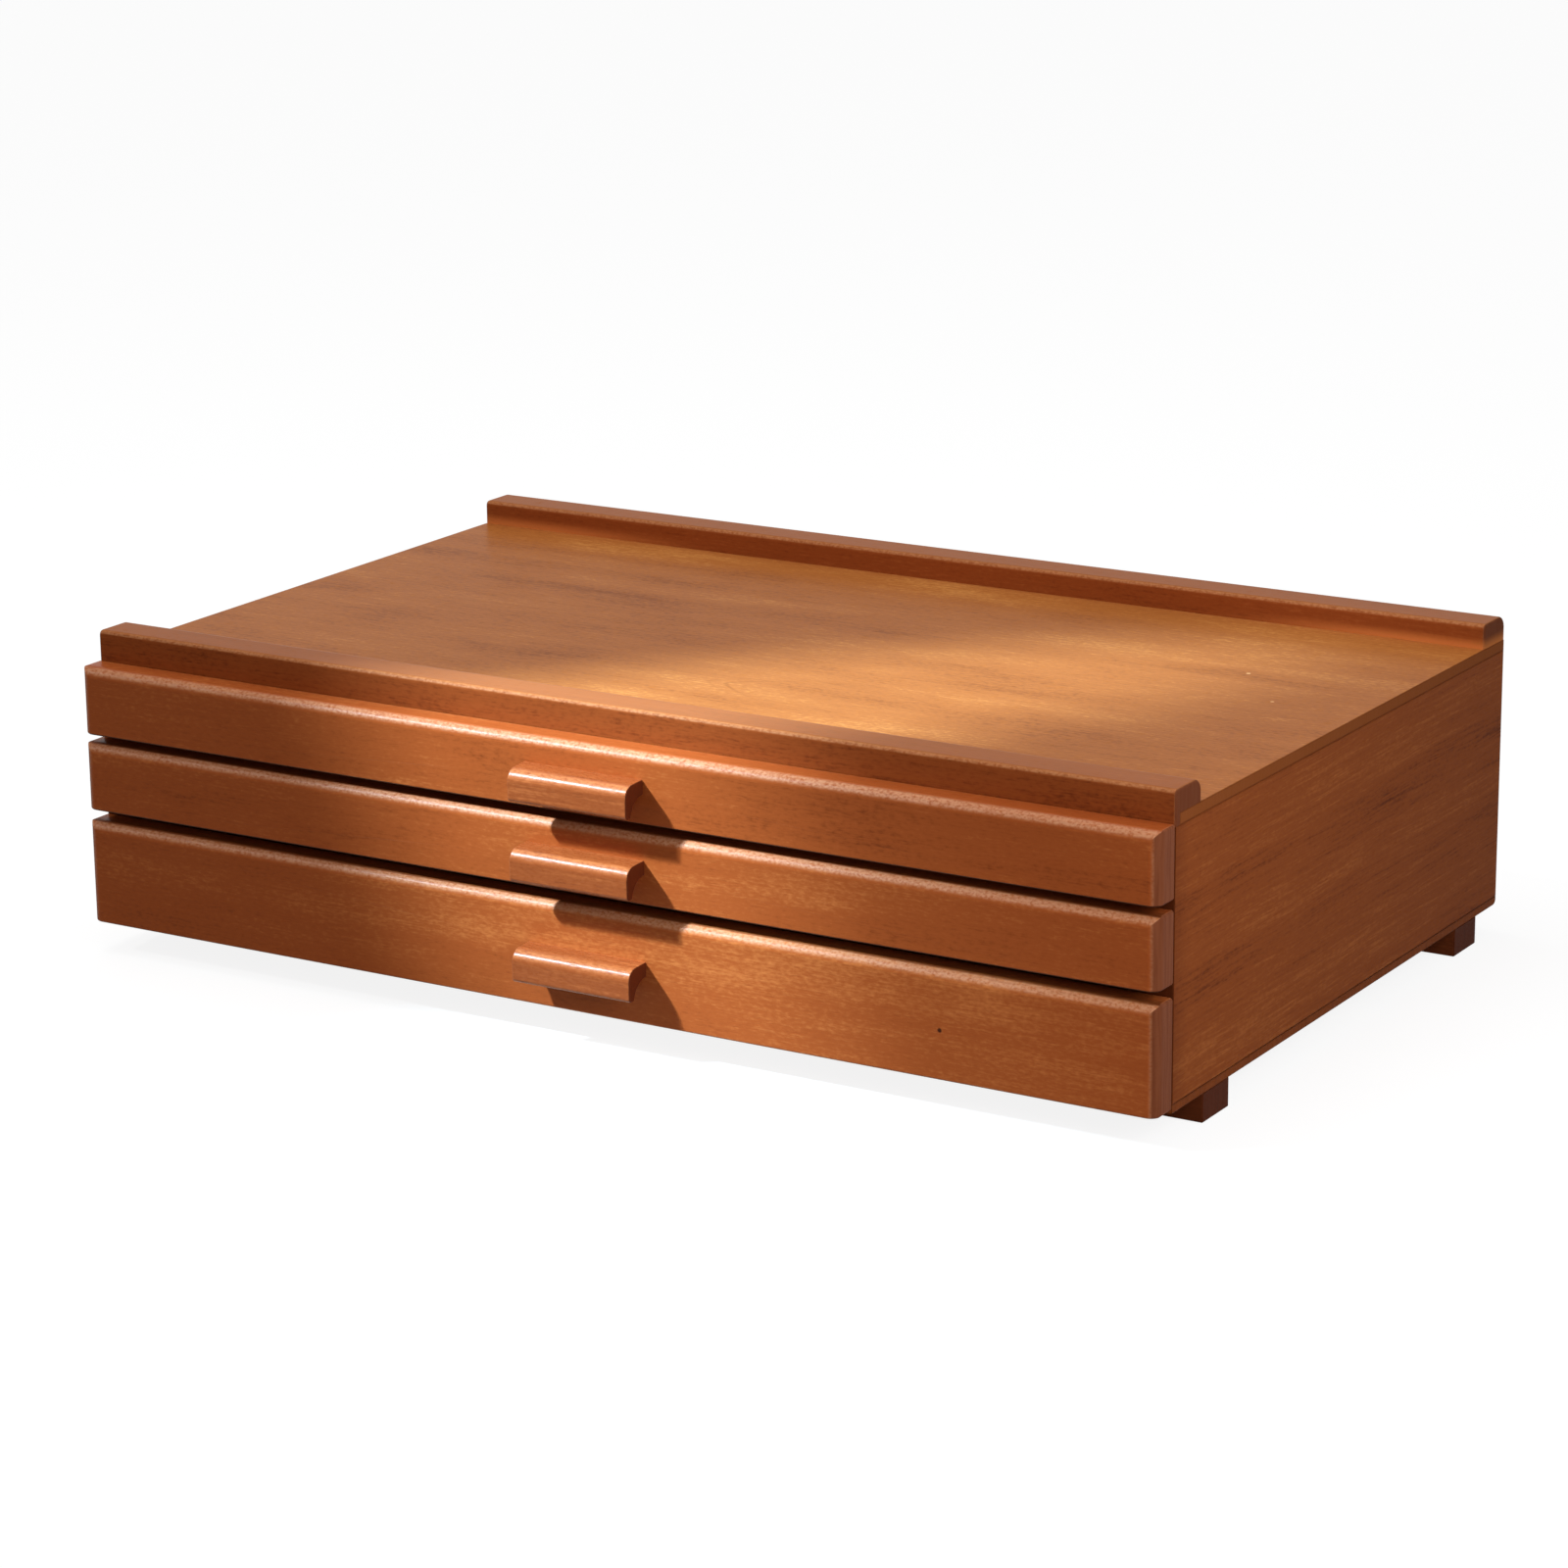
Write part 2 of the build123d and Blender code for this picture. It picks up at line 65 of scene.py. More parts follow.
FILL_POWER = 1.1
FILL_SIZE = 0.25
ROOM_STRENGTH = 0.3

# Floor: pale, and white to the camera where no shadow falls on it
FLOOR_SIZE = 40.0
FLOOR_COLOUR = (0.22, 0.22, 0.22, 1)
FLOOR_GLOW = 0.87
WHITE = (1, 1, 1, 1)

# Patterns: repeats per metre along, across and up a board, then the detail and the roughness of the
# noise. The last two are on steel.
NOISES = {
    "sway": ((11, 34, 34), 2.0, 0.5),
    "band": ((1.6, 62, 62), 3.0, 0.55),
    "streak": ((13, 640, 640), 3.0, 0.6),
    "mottle": ((430, 1000, 1000), 2.0, 0.55),
    "fine": ((70, 1900, 1900), 1.0, 0.5),
    "blotch": ((14, 44, 44), 3.0, 0.5),
    "drift": ((1.7, 6, 6), 2.0, 0.5),
    "grit": ((850, 1200, 1200), 2.0, 0.5),
    "end_line": ((30, 900, 45), 2.0, 0.5),
    "spangle": ((1800, 1800, 1800), 2.0, 0.5),
    "cloud": ((300, 300, 300), 3.0, 0.5),
}
NOISE_VALUE, NOISE_COLOUR = 0, 1  # outputs of a noise node
SWAY_REACH = (0, 0.0045, 0.0045)  # by which the grain wanders along, across and up a board, in metres
SEED_STEP = (0.731, 0.417, 0.293)  # in metres, between the patterns of a piece and the next one's

# Specks: repeats per metre along, across and up a board, the size as a share of their spacing, and the
# share of the places that stay empty
SPECKS = {
    "fleck": ((210, 1450, 1450), 0.5, 0.55),
    "pore": ((60, 2300, 2300), 0.45, 0.5),
}
SPECK_CORE = 0.3  # share of the size that is at full strength

# Tones: where the sum of the patterns passes from the dark tone to the middle one, and from there to
# the light one
DARK_TO_MIDDLE = (0.1, 0.5)
MIDDLE_TO_LIGHT = (0.5, 0.9)
AVERAGE_TONE = 0.5
LIGHTER_BOARDS = {"bottom_drawer_front": 0.04}  # added to the average tone

# End grain: how far a face turns to the end of its board before it shows, the contrast of its lines,
# and how dark it gets
END_FACING = (0.25, 0.6)
END_LINE_RANGE = (0.35, 0.75)
PORE_DARKNESS = 0.4
END_DARKNESS = 0.42

# Satin finish: the heights of the patterns, their relief with its depth in metres, the roughness, and
# what is added to it
PATTERN_HEIGHTS = {"streak": 0.3, "mottle": 0.5, "fine": 0.25, "fleck": -0.8}
PORE_HEIGHT = -0.8
WOOD_BUMP = (0.15, 0.0003)  # strength and depth
SATIN = 0.32
MOTTLE_ROUGHNESS = 0.14
FLECK_ROUGHNESS = 0.16
END_ROUGHNESS = 0.24

# Plywood, as shares of the thickness, and how dark its layers are
VENEER = 0.2
GLUE_LINE = 0.05
CORE_FADE = 0.04
GLUE_DARKNESS = 0.35
CORE_DARKNESS = 0.15
SHEET_FACING = (0.4, 0.8)  # how far a face turns from the edge of a sheet to its broad side

# Edges: dark lines on the sheets and the sides; pale specks of wear and a painted highlight where the
# other boards are rounded over
SHEETS = ("top_sheet", "bottom_sheet", "back_sheet", "drawer_sheet")
DARK_EDGES = (*SHEETS, "side_wood")
DARK_EDGE = 0.0007  # width of the dark line, in metres
FLAT_FACING = (0.86, 0.99)  # largest part of the normal, from a rounded face to a flat one
GRIT_RANGE = (0.15, 0.7)

# Darker and paler places, reaches in metres: sides darker towards their front edge; painted sheen,
# paler, on the upward faces of the rails; painted light, paler, on the back rail's foot towards both
# ends
SIDE_DARKER_REACH = 0.012
SIDE_DARKER_STRENGTH = 0.4
PAINTED_SHEEN_TOP_FACING = (0.6, 0.95)  # how far a face turns up
PAINTED_SHEEN_TOP_STRENGTH = 0.3
PAINTED_SHEEN_TOP_COLOUR = (200, 134, 82)
PAINTED_LIGHT_FOOT_REACH = 0.0045
PAINTED_LIGHT_FOOT_ENDS = (0.1, 0.19)  # from the middle of the rail
PAINTED_LIGHT_FOOT_STRENGTH = 0.75
PAINTED_LIGHT_FOOT_COLOUR = (226, 134, 70)

# Painted shade in the gaps between the drawer fronts: which way their edges there face, down or up
PAINTED_GAP_SHADE = {"top_drawer_front": (-1,), "middle_drawer_front": (-1, 1), "bottom_drawer_front": (1,)}
PAINTED_GAP_SHADE_FACING = {-1: (0.15, 0.5), 1: (0.86, 0.98)}  # from which slope to which it grows
PAINTED_GAP_SHADE_REACH = 0.008  # from the face of the front, in metres
PAINTED_GAP_SHADE_STRENGTH = 0.88
PAINTED_GAP_SHADE_COLOUR = (24, 9, 4)

# A faint pointed figure in the grain of the top: its tip and its size on the face, in metres
FIGURE_TIP = (0.005, -0.048)
FIGURE_SIZE = (0.03, 0.019)
FIGURE_BEND = 1.3  # 1 for straight arms, 2 for a round tip
FIGURE_LINES = 4
FIGURE_LINE_RANGE = (0.4, 1.0)
FIGURE_DEPTH = 0.4  # how far its nested lines reach, as a share of its length
FIGURE_REACH = 1.2  # how far its arms reach, as a share of its width
FIGURE_STRENGTH = 0.45

# A pin knot in one drawer front and two small pale spots on the top: the piece, the two axes of its
# face, the place on them and the radius in metres, and the colour
MARKS = (
    ("bottom_drawer_front", (X, Z), (0.1366, 0.0283), 0.0008, (38, 14, 6)),
    ("top_panel", (X, Y), (0.157, 0.052), 0.0008, (232, 184, 128)),
    ("top_panel", (X, Y), (0.181, 0.021), 0.0007, (232, 184, 128)),
)
MARK_RIM = (0.6, 1.3)  # where a mark starts to fade and where it ends, in radii
MARK_STRENGTH = 0.9

# Zinc-plated steel
STEEL_TONES = ((92, 90, 84), (138, 135, 127))
STEEL_RANGE = (0.3, 0.7)
STEEL_ROUGHNESS = 0.28
SPANGLE_ROUGHNESS = 0.18
STEEL_BUMP = (0.12, 0.0001)  # strength and depth

# Stains: three tones of the wood, its end grain, its edges with how strongly they show, how strongly
# each pattern shows, gloss and roughness
TONE_PATTERNS = ("band", "streak", "mottle", "fine", "blotch", "drift")
PATTERNS = (*TONE_PATTERNS, "fleck")


def colour(red, green, blue):
    """A colour written as on a screen, from 0 to 255, as the linear one that a shader takes."""
    parts = [value / 255 for value in (red, green, blue)]
    linear = [part / 12.92 if part < 0.04045 else ((part + 0.055) / 1.055) ** 2.4 for part in parts]
    return (*linear, 1)


def stain(tones, end, edge, strengths, gloss, roughness=SATIN):
    """A stained wood. The edge is a colour and how strongly it shows."""
    return {
        "tones": [colour(*tone) for tone in tones],
        "end": colour(*end),
        "edge": (colour(*edge[0]), edge[1]),
        "gloss": gloss,
        "roughness": roughness,
        **dict(zip(PATTERNS, strengths)),
    }


# The pale edge colours of the boards that are not sheets or sides stand for wear and a painted
# highlight
STAINS = {
    "front_wood": stain(
        ((98, 40, 14), (166, 81, 36), (206, 120, 62)),
        (136, 76, 48),
        ((226, 170, 130), 0.56),
        (0.44, 0.18, 0.42, 0.2, 0.42, 0.36, 0.05),
        0.055,
    ),
    "pull_wood": stain(
        ((96, 40, 18), (144, 70, 32), (174, 94, 48)),
        (104, 46, 22),
        ((216, 138, 84), 0.4),
        (0.3, 0.6, 0.5, 0.4, 0.4, 0.3, 0.2),
        0.1,
        0.28,
    ),
    "rail_wood": stain(
        ((106, 47, 21), (148, 73, 33), (174, 95, 48)),
        (122, 68, 44),
        ((220, 154, 104), 0.44),
        (0.3, 0.24, 0.5, 0.36, 0.46, 0.34, 0.05),
        0.013,
    ),
    "side_wood": stain(
        ((108, 50, 22), (154, 79, 36), (184, 106, 54)),
        (74, 34, 18),
        ((72, 32, 12), 0.5),
        (0.6, 0.6, 0.4, 0.4, 0.4, 0.4, 0.08),
        0.006,
    ),
    "top_sheet": stain(
        ((142, 78, 34), (181, 108, 52), (214, 143, 76)),
        (150, 82, 42),
        ((84, 40, 16), 0.5),
        (0.4, 0.14, 0.66, 0.46, 0.66, 0.44, 0.05),
        0.013,
    ),
    "bottom_sheet": stain(
        ((104, 48, 18), (142, 72, 28), (168, 94, 42)),
        (142, 72, 30),
        ((76, 36, 14), 0.5),
        (0.5, 0.4, 0.3, 0.28, 0.5, 0.42, 0.2),
        0.03,
    ),
    "back_sheet": stain(
        ((110, 54, 20), (148, 80, 32), (174, 102, 46)),
        (130, 68, 34),
        ((80, 38, 16), 0.5),
        (0.6, 0.4, 0.3, 0.28, 0.5, 0.42, 0.2),
        0.05,
    ),
    "foot_wood": stain(
        ((64, 26, 10), (98, 45, 20), (122, 60, 30)),
        (86, 38, 18),
        ((126, 66, 34), 0.25),
        (0.3, 0.4, 0.5, 0.34, 0.42, 0.3, 0.34),
        0.03,
    ),
    "drawer_wood": stain(
        ((142, 87, 42), (177, 117, 64), (199, 143, 87)),
        (164, 106, 62),
        ((214, 160, 106), 0.3),
        (0.5, 0.5, 0.4, 0.3, 0.36, 0.36, 0.4),
        0.14,
    ),
    "drawer_sheet": stain(
        ((150, 98, 52), (182, 127, 75), (202, 150, 97)),
        (160, 104, 60),
        ((150, 98, 56), 0.3),
        (0.66, 0.36, 0.3, 0.26, 0.4, 0.4, 0.22),
        0.1,
    ),
    "runner_wood": stain(
        ((146, 92, 50), (180, 124, 74), (202, 148, 96)),
        (150, 98, 60),
        ((206, 154, 104), 0.3),
        (0.3, 0.5, 0.4, 0.3, 0.3, 0.3, 0.36),
        0.14,
    ),
}
GRAIN_ORDER = {X: (X, Y, Z), Y: (Y, X, Z)}  # axes of a piece along, across and up its board


class Shader:
    """A material or a world in the making: adds nodes and links them."""

    def __init__(self, owner):
        owner.use_nodes = True
        self.owner = owner
        self.tree = owner.node_tree
        self.tree.nodes.clear()

    def node(self, kind, inputs, **settings):
        """A node with its settings, and its inputs linked or set."""
        node = self.tree.nodes.new(kind)
        for key, value in settings.items():
            setattr(node, key, value)
        sockets = {}
        for index, socket in enumerate(node.inputs):
            if socket.enabled:
                sockets[index] = socket
                sockets.setdefault(socket.name, socket)
        for key, value in inputs.items():
            if isinstance(value, bpy.types.NodeSocket):
                self.tree.links.new(value, sockets[key])
            else:
                sockets[key].default_value = value
        return node

    def math(self, operation, *values):
        inputs = dict(enumerate(values))
        return self.node("ShaderNodeMath", inputs, operation=operation).outputs[0]

    def vector(self, operation, *values):
        inputs = dict(enumerate(values))
        return self.node("ShaderNodeVectorMath", inputs, operation=operation).outputs[0]

    def separate(self, vector):
        """The three parts of a vector."""
        return self.node("ShaderNodeSeparateXYZ", {"Vector": vector}).outputs

    def chain(self, operation, values):
        """Several values put together, one after the other."""
        result = values[0]
        for value in values[1:]:
            result = self.math(operation, result, value)
        return result

    def total(self, *values):
        return self.chain("ADD", values)

    def product(self, *values):
        return self.chain("MULTIPLY", values)

    def largest(self, *values):
        return self.chain("MAXIMUM", values)

    def smallest(self, *values):
        return self.chain("MINIMUM", values)

    def difference(self, first, second):
        return self.math("SUBTRACT", first, second)

    def inverse(self, value):
        """1 where the value is 0, and 0 where it is 1."""
        return self.difference(1.0, value)

    def smooth(self, value, low, high):
        """0 below low, 1 above high, and soft between them."""
        inputs = {"Value": value, "From Min": low, "From Max": high}
        node = self.node("ShaderNodeMapRange", inputs, interpolation_type="SMOOTHSTEP")
        return node.outputs[0]

    def near(self, value, reach):
        """1 at 0, falling softly to 0 at this distance from it."""
        return self.inverse(self.smooth(self.math("ABSOLUTE", value), 0.0, reach))

    def centred(self, value, strength):
        """A pattern from 0 to 1, turned into one around 0 with this strength."""
        return self.product(self.difference(value, 0.5), strength)

    def mix(self, factor, first, second):
        """From the first colour to the second."""
        inputs = {"Factor": factor, "A": first, "B": second}
        node = self.node("ShaderNodeMix", inputs, data_type="RGBA")
        return next(socket for socket in node.outputs if socket.enabled)

    def noise(self, place, key, output=NOISE_VALUE):
        """One of the noises, most of them drawn out along the grain."""
        scale, detail, roughness = NOISES[key]
        stretched = self.vector("MULTIPLY", place, scale)
        inputs = {"Vector": stretched, "Scale": 1.0, "Detail": detail, "Roughness": roughness}
        return self.node("ShaderNodeTexNoise", inputs).outputs[output]

    def specks(self, place, key):
        """Small scattered specks: 1 in their middle."""
        scale, size, empty = SPECKS[key]
        stretched = self.vector("MULTIPLY", place, scale)
        cells = self.node("ShaderNodeTexVoronoi", {"Vector": stretched, "Scale": 1.0}).outputs
        chance = self.node("ShaderNodeSeparateColor", {"Color": cells["Color"]}).outputs[0]
        close = self.inverse(self.smooth(cells["Distance"], size * SPECK_CORE, size))
        return self.product(close, self.smooth(chance, empty, 1.0))

    def bump(self, height, strength, depth):
        """The normal of a surface with this relief."""
        inputs = {"Strength": strength, "Distance": depth, "Height": height}
        return self.node("ShaderNodeBump", inputs).outputs[0]

    def finish(self, inputs):
        """The material itself, as a plain surface with these inputs."""
        surface = self.node("ShaderNodeBsdfPrincipled", inputs)
        self.node("ShaderNodeOutputMaterial", {"Surface": surface.outputs[0]})
        return self.owner


# Wood
def grain_patterns(shader, place):
    """The patterns of the wood, each from 0 to 1. Most of them wander a little across the grain."""
    sway = shader.vector("SUBTRACT", shader.noise(place, "sway", NOISE_COLOUR), (0.5, 0.5, 0.5))
    wavy = shader.vector("ADD", place, shader.vector("MULTIPLY", sway, SWAY_REACH))
    patterns = {"fleck": shader.specks(wavy, "fleck"), "pore": shader.specks(place, "pore")}
    for key in ("band", "streak", "mottle", "fine", "end_line"):
        patterns[key] = shader.noise(wavy, key)
    for key in ("blotch", "drift"):
        patterns[key] = shader.noise(place, key)
    return patterns


def face_colour(shader, finish, patterns, average):
    """The colour of the faces along the grain."""
    dark, middle, light = finish["tones"]
    shares = [shader.centred(patterns[key], finish[key]) for key in TONE_PATTERNS]
    tone = shader.total(average, *shares)
    lower = shader.mix(shader.smooth(tone, *DARK_TO_MIDDLE), dark, middle)
    surface = shader.mix(shader.smooth(tone, *MIDDLE_TO_LIGHT), lower, light)
    return shader.mix(shader.product(patterns["fleck"], finish["fleck"]), surface, dark)


def end_colour(shader, finish, patterns):
    """The colour of the end grain: fine upright lines and pores."""
    line = shader.smooth(patterns["end_line"], *END_LINE_RANGE)
    tone = shader.total(line, shader.product(patterns["pore"], PORE_DARKNESS))
    return shader.mix(shader.product(tone, END_DARKNESS), finish["end"], finish["tones"][0])


def dark_edges(shader, parts, low, high):
    """1 on the edges of a box-shaped piece, falling to 0 at a small distance from them."""
    distances = []
    for value, first, last in zip(parts, low, high):
        from_middle = shader.math("ABSOLUTE", shader.difference(value, (first + last) / 2))
        distances.append(shader.difference((last - first) / 2, from_middle))
    pairs = [shader.largest(*pair) for pair in combinations(distances, 2)]
    return shader.near(shader.smallest(*pairs), DARK_EDGE)


def worn_edges_and_painted_highlight(shader, place, facing, end):
    """1 where an edge along the grain is rounded over, broken up into specks: pale wear and a painted
    highlight.
    """
    rounded = shader.inverse(shader.smooth(shader.largest(*facing), *FLAT_FACING))
    grit = shader.smooth(shader.noise(place, "grit"), *GRIT_RANGE)
    return shader.product(rounded, shader.inverse(end), grit)


def darker_sides_and_painted_light(shader, surface, name, slot, parts, normal, low):
    """The surface with its sides darker towards the front edge, painted shade in the gaps between the
    fronts, and painted light on the rails.
    """

    def near_low(axis, reach):
        """1 where the piece starts along this axis, falling to 0 at this distance from there."""
        return shader.near(shader.difference(parts[axis], low[axis]), reach)

    # The sides are painted darker towards their front edge
    if slot == "side_wood":
        side_darker = shader.product(near_low(Y, SIDE_DARKER_REACH), SIDE_DARKER_STRENGTH)
        surface = shader.mix(side_darker, surface, STAINS[slot]["tones"][0])
    # Painted shade: the edges of the drawer fronts inside the gaps between them are painted near black
    for way in PAINTED_GAP_SHADE.get(name, ()):
        to_gap = shader.smooth(shader.product(normal[Z], way), *PAINTED_GAP_SHADE_FACING[way])
        gap_shade_mask = shader.product(to_gap, near_low(Y, PAINTED_GAP_SHADE_REACH), PAINTED_GAP_SHADE_STRENGTH)
        surface = shader.mix(gap_shade_mask, surface, colour(*PAINTED_GAP_SHADE_COLOUR))
    # Painted sheen: the upward faces of the rails are painted paler
    if slot == "rail_wood":
        upward = shader.smooth(normal[Z], *PAINTED_SHEEN_TOP_FACING)
        painted_paler = shader.product(upward, PAINTED_SHEEN_TOP_STRENGTH)
        surface = shader.mix(painted_paler, surface, colour(*PAINTED_SHEEN_TOP_COLOUR))
    # Painted light: the foot of the back rail's face is painted paler towards both ends
    if name == "back_rail":
        ends = shader.smooth(shader.math("ABSOLUTE", parts[X]), *PAINTED_LIGHT_FOOT_ENDS)
        painted_paler = shader.product(near_low(Z, PAINTED_LIGHT_FOOT_REACH), ends, PAINTED_LIGHT_FOOT_STRENGTH)
        surface = shader.mix(painted_paler, surface, colour(*PAINTED_LIGHT_FOOT_COLOUR))
    return surface


def pointed_figure(shader, parts):
    """Nested lines of the grain that come to a point, as where a board is cut through its rings."""
    along, across = [
        shader.math("DIVIDE", shader.difference(value, tip), size)
        for value, tip, size in zip(parts, FIGURE_TIP, FIGURE_SIZE)
    ]
    arms = shader.math("POWER", shader.math("ABSOLUTE", across), FIGURE_BEND)
    level = shader.difference(along, arms)
    wave = shader.math("COSINE", shader.product(level, FIGURE_LINES * 2 * math.pi))
    fade = shader.product(shader.near(level, FIGURE_DEPTH), shader.near(across, FIGURE_REACH))
    return shader.product(shader.smooth(wave, *FIGURE_LINE_RANGE), fade, FIGURE_STRENGTH)


def plywood_layers(shader, parts, normal, low, high):
    """How dark the core and the glue lines show on the edges of a thin sheet."""
    thin = min((X, Y, Z), key=lambda axis: high[axis] - low[axis])
    middle = (low[thin] + high[thin]) / 2
    from_middle = shader.math("ABSOLUTE", shader.difference(parts[thin], middle))
    share = shader.math("DIVIDE", from_middle, high[thin] - low[thin])
    core_end = 0.5 - VENEER
    glue = shader.near(shader.difference(share, core_end), GLUE_LINE)
    core = shader.inverse(shader.smooth(share, core_end - CORE_FADE, core_end))
    dark = shader.largest(shader.product(glue, GLUE_DARKNESS), shader.product(core, CORE_DARKNESS))
    edge = shader.inverse(shader.smooth(shader.math("ABSOLUTE", normal[thin]), *SHEET_FACING))
    return shader.product(dark, edge)


def marked(shader, surface, name, parts):
    """The surface with its knot or pale spots, each a small round spot."""
    for piece, axes, spot, radius, tint in MARKS:
        if piece == name:
            aside = [shader.difference(parts[axis], at) for axis, at in zip(axes, spot)]
            squares = [shader.math("POWER", value, 2.0) for value in aside]
            away = shader.math("SQRT", shader.total(*squares))
            mark = shader.inverse(shader.smooth(away, *[radius * rim for rim in MARK_RIM]))
            surface = shader.mix(shader.product(mark, MARK_STRENGTH), surface, colour(*tint))
    return surface


def wood(name, slot, grain, low, high, seed):
    """Stained wood whose grain runs through the whole piece along one axis."""
    finish = STAINS[slot]
    dark = finish["tones"][0]
    shader = Shader(bpy.data.materials.new(f"{name}_wood"))
    texture = shader.node("ShaderNodeTexCoord", {}).outputs
    parts = shader.separate(texture["Object"])
    normal = shader.separate(texture["Normal"])
    order = GRAIN_ORDER[grain]
    turned = {axis: parts[index] for axis, index in zip("XYZ", order)}
    grained = shader.node("ShaderNodeCombineXYZ", turned).outputs[0]
    place = shader.vector("ADD", grained, [step * seed for step in SEED_STEP])
    patterns = grain_patterns(shader, place)

    # Colour along the grain, and of the end grain, which reaches round the rounded ends
    facing = [shader.math("ABSOLUTE", normal[axis]) for axis in (X, Y, Z)]
    end = shader.smooth(facing[order[0]], *END_FACING)
    average = AVERAGE_TONE + LIGHTER_BOARDS.get(name, 0)
    along_grain = face_colour(shader, finish, patterns, average)
    surface = shader.mix(end, along_grain, end_colour(shader, finish, patterns))

    # Edges, darker sides, painted light and shade, and marks
    edge_colour, edge_strength = finish["edge"]
    if slot in DARK_EDGES:
        edge = dark_edges(shader, parts, low, high)
    else:
        edge = worn_edges_and_painted_highlight(shader, place, facing, end)
    # Dark lines on sheets and sides; on the other boards rounded edges painted pale, wear and a
    # painted highlight
    surface = shader.mix(shader.product(edge, edge_strength), surface, edge_colour)
    surface = darker_sides_and_painted_light(shader, surface, name, slot, parts, normal, low)
    if name == "top_panel":
        surface = shader.mix(pointed_figure(shader, parts), surface, dark)
    if slot in SHEETS:
        surface = shader.mix(plywood_layers(shader, parts, normal, low, high), surface, dark)
    surface = marked(shader, surface, name, parts)

    # Satin finish, with open pores
    heights = [shader.product(patterns[key], height) for key, height in PATTERN_HEIGHTS.items()]
    height = shader.total(*heights, shader.product(patterns["pore"], end, PORE_HEIGHT))
    roughness = shader.total(
        finish["roughness"],
        shader.centred(patterns["mottle"], MOTTLE_ROUGHNESS),
        shader.product(patterns["fleck"], FLECK_ROUGHNESS),
        shader.product(end, END_ROUGHNESS),
    )
    inputs = {
        "Base Color": surface,
        "Roughness": roughness,
        "Specular IOR Level": finish["gloss"],
        "Normal": shader.bump(height, *WOOD_BUMP),
    }
    return shader.finish(inputs)


def steel(name):
    """Zinc-plated steel, dull and slightly mottled."""
    shader = Shader(bpy.data.materials.new(name))
    place = shader.node("ShaderNodeTexCoord", {}).outputs["Object"]
    spangle = shader.noise(place, "spangle")
    cloud = shader.noise(place, "cloud")
    tone = shader.product(shader.total(spangle, cloud), 0.5)
    darker, lighter = [colour(*steel_tone) for steel_tone in STEEL_TONES]
    inputs = {
        "Base Color": shader.mix(shader.smooth(tone, *STEEL_RANGE), darker, lighter),
        "Metallic": 1.0,
        "Roughness": shader.total(STEEL_ROUGHNESS, shader.product(spangle, SPANGLE_ROUGHNESS)),
        "Normal": shader.bump(spangle, *STEEL_BUMP),
    }
    return shader.finish(inputs)


def set_material(piece, material):
    """One material for the whole piece."""
    piece.data.materials.clear()
    piece.data.materials.append(material)


plated = steel("zinc_plated_steel")
slots = {part["node"]: part["material_slot"] for part in frame["record"]["subparts"]}
for seed, name in enumerate(sorted(frame["nodes"]), start=1):
    slot = slots[name]
    if slot == "steel":
        set_material(frame["nodes"][name], plated)
        continue
    grain = Y if "side" in name or "runner" in name else X
    low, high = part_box(name)
    set_material(frame["nodes"][name], wood(name, slot, grain, low, high, seed))


# Stage
def background_rays(shader):
    """1 for the rays that show the background: straight ones, reflections and those through glass."""
    path = shader.node("ShaderNodeLightPath", {}).outputs
    kinds = ("Is Camera Ray", "Is Glossy Ray", "Is Transmission Ray")
    return shader.largest(*[path[kind] for kind in kinds])


def floor():
    """A plain pale floor that keeps the shadow of the object."""
    half = FLOOR_SIZE / 2
    mesh = bpy.data.meshes.new("floor")
    corners = [(-half, -half, 0), (half, -half, 0), (half, half, 0), (-half, half, 0)]
    mesh.from_pydata(corners, [], [(0, 1, 2, 3)])
    piece = bpy.data.objects.new("floor", mesh)
    bpy.context.scene.collection.objects.link(piece)
    shader = Shader(bpy.data.materials.new("pale_floor"))
    matt = shader.node("ShaderNodeBsdfDiffuse", {"Color": FLOOR_COLOUR})
    strength = shader.product(background_rays(shader), FLOOR_GLOW)
    glow = shader.node("ShaderNodeEmission", {"Color": WHITE, "Strength": strength})
    both = shader.node("ShaderNodeAddShader", {0: matt.outputs[0], 1: glow.outputs[0]})
    shader.node("ShaderNodeOutputMaterial", {"Surface": both.outputs[0]})
    mesh.materials.append(shader.owner)


def room():
    """White to the camera, and an even soft light on the object."""
    shader = Shader(bpy.data.worlds.new("room"))
    inputs = {"Value": background_rays(shader), "To Min": ROOM_STRENGTH}
    strength = shader.node("ShaderNodeMapRange", inputs).outputs[0]
    sky = shader.node("ShaderNodeBackground", {"Color": WHITE, "Strength": strength})
    shader.node("ShaderNodeOutputWorld", {"Surface": sky.outputs[0]})
    bpy.context.scene.world = shader.owner


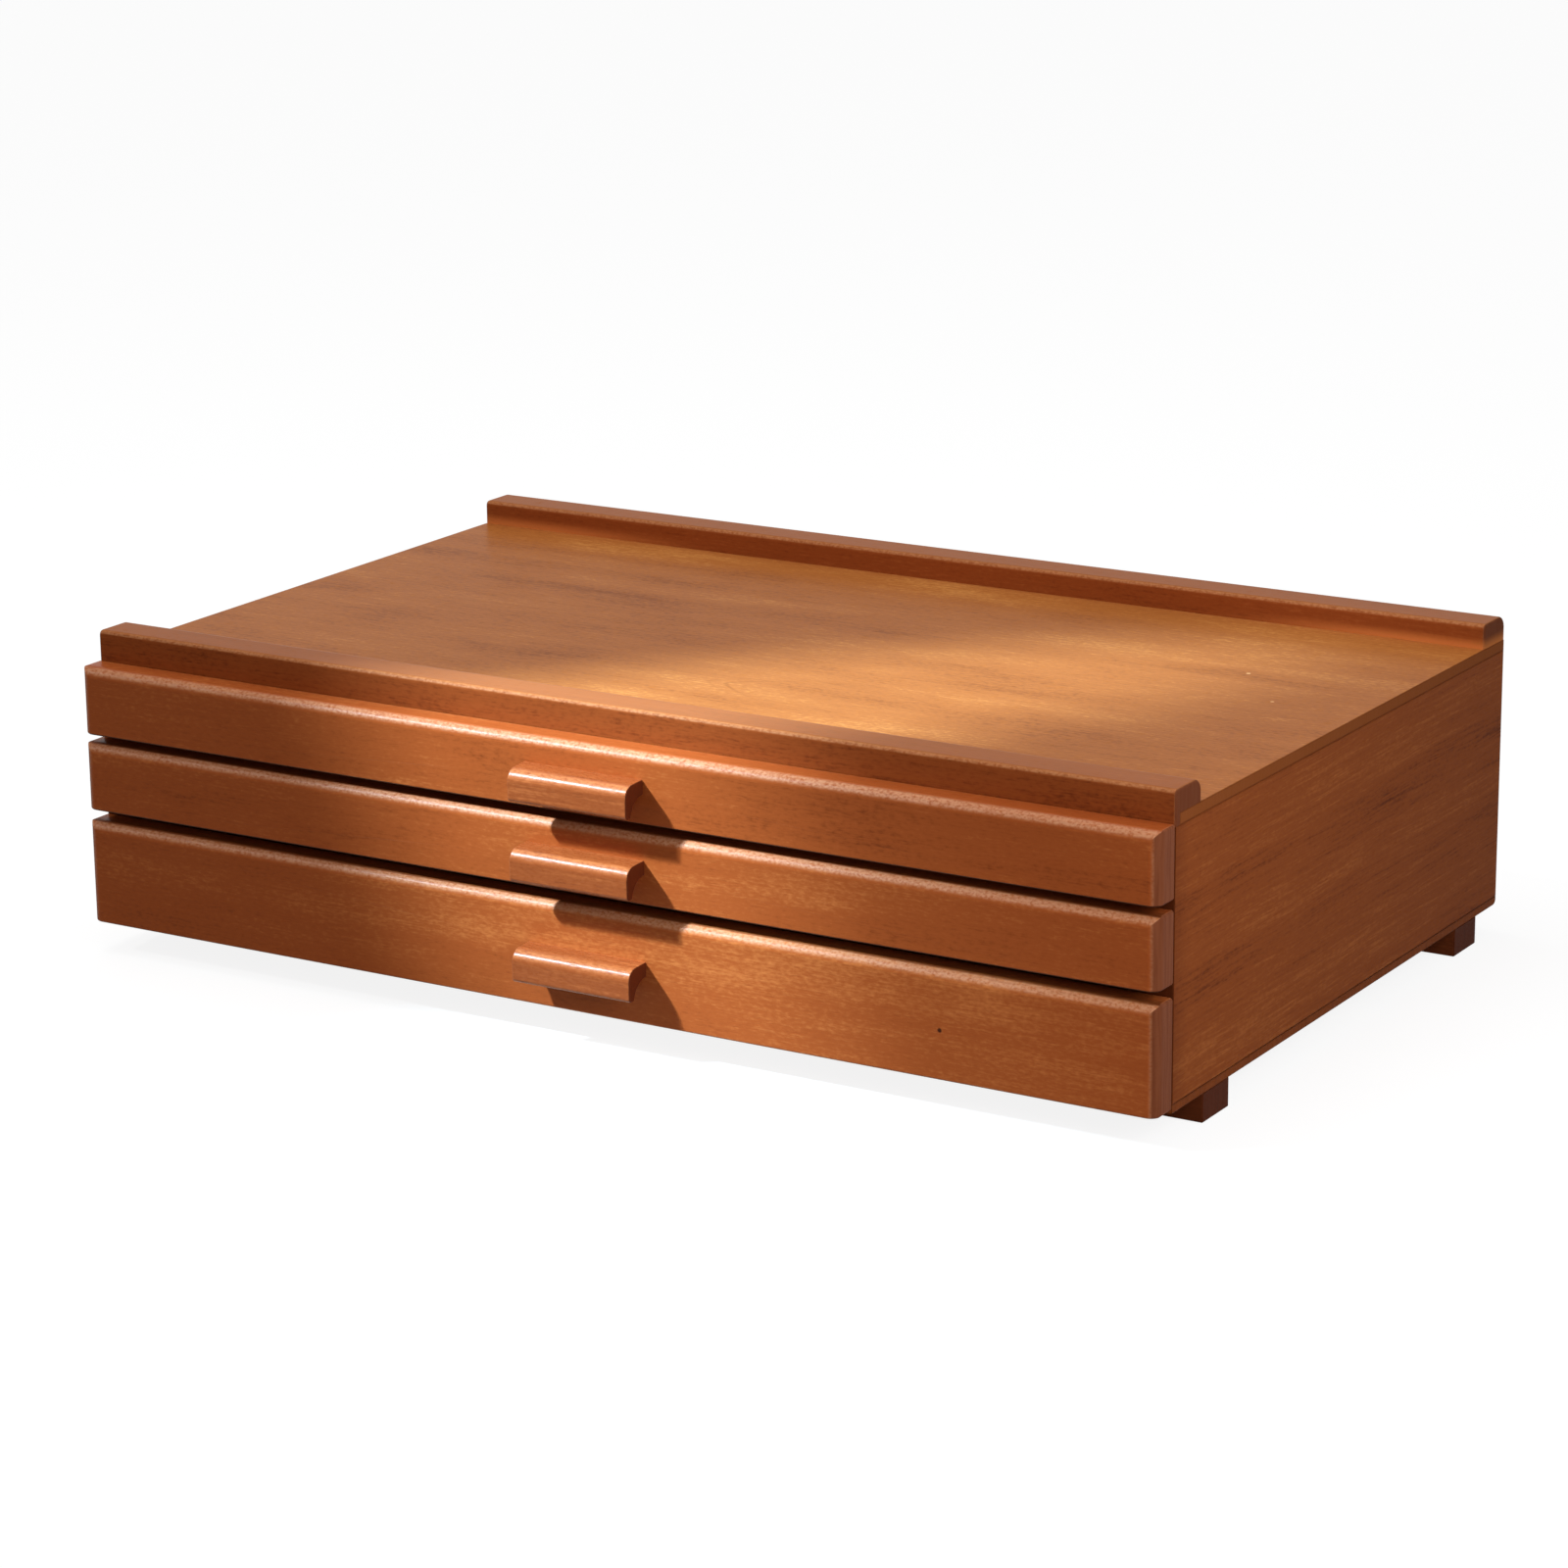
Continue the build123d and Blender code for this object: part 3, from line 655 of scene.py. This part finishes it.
def lamp(name, kind, place, target, energy, **settings):
    """A lamp at a place, aimed at another."""
    data = bpy.data.lights.new(name, kind)
    data.energy = energy
    for key, value in settings.items():
        setattr(data, key, value)
    piece = bpy.data.objects.new(name, data)
    piece.location = place
    piece.rotation_euler = (place - target).to_track_quat("Z", "Y").to_euler()
    bpy.context.scene.collection.objects.link(piece)
    return piece


def daylight(name, target, power, width, blend):
    """A spot lamp that shines on its target from where the key comes from."""
    place = target + KEY_FROM * BEAM_DISTANCE
    cone = {"spot_size": width, "spot_blend": blend}
    look = {"color": BEAM_COLOUR, "shadow_soft_size": BEAM_SIZE}
    return lamp(name, "SPOT", place, target, power, **look, **cone)


def lamps():
    """The key, its beam and spill, the lamp overhead and the fill."""
    lamp("key", "SUN", KEY_FROM, Vector(), KEY_STRENGTH, angle=KEY_ANGLE)
    beam = daylight("beam", BEAM_TARGET, BEAM_POWER, BEAM_WIDTH, BEAM_BLEND)
    beam.rotation_euler.rotate_axis("Z", BEAM_ROLL)
    beam.scale = (1, BEAM_TALLNESS, 1)
    daylight("spill", SPILL_TARGET, SPILL_POWER, SPILL_WIDTH, SPILL_BLEND)
    lamp("overhead", "AREA", OVERHEAD_PLACE, OVERHEAD_TARGET, OVERHEAD_POWER, size=OVERHEAD_SIZE)
    lamp("fill", "AREA", FILL_PLACE, FILL_TARGET, FILL_POWER, size=FILL_SIZE)


def camera():
    """The camera that took the photograph."""
    data = bpy.data.cameras.new("camera")
    data.lens = CAMERA_LENS
    data.sensor_width = CAMERA_SENSOR
    piece = bpy.data.objects.new("camera", data)
    bpy.context.scene.collection.objects.link(piece)
    aim = (CAMERA_TARGET - CAMERA_PLACE).to_track_quat("-Z", "Y").to_matrix().to_4x4()
    roll = Matrix.Rotation(CAMERA_ROLL, 4, "Z")
    piece.matrix_world = Matrix.Translation(CAMERA_PLACE) @ aim @ roll
    bpy.context.scene.camera = piece


floor()
room()
lamps()
camera()
bpy.context.scene.view_settings.view_transform = "Standard"
